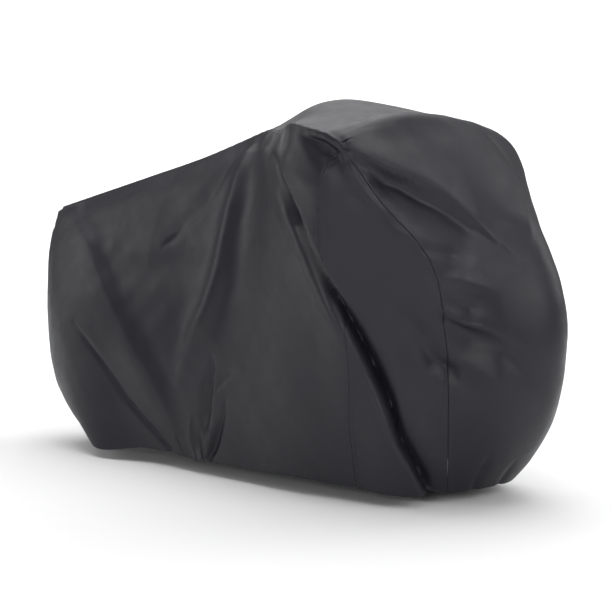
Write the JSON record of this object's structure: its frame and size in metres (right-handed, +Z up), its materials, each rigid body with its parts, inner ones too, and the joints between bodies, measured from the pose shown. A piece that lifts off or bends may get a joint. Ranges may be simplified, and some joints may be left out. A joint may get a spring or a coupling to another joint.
{
  "type": "bicycle cover",
  "caption": "Fitted weather cover hanging hollow and open-bottomed in the draped shape it takes over an adult bicycle, sewn from shaped cloth panels.",
  "frame": {"origin": "the inside of the top, where the cover rests on the handlebar", "axes": "+X towards the front wheel end, -Y the near side, +Z up"},
  "size_m": [1.7597, 0.7383, 0.9954],
  "materials": {
    "coated_cloth": "satin charcoal coated polyester"
  },
  "bodies": {
    "root": {"near_side_panel": "coated_cloth", "front_gore": "coated_cloth", "far_side_panel": "coated_cloth"}
  },
  "joints": []
}
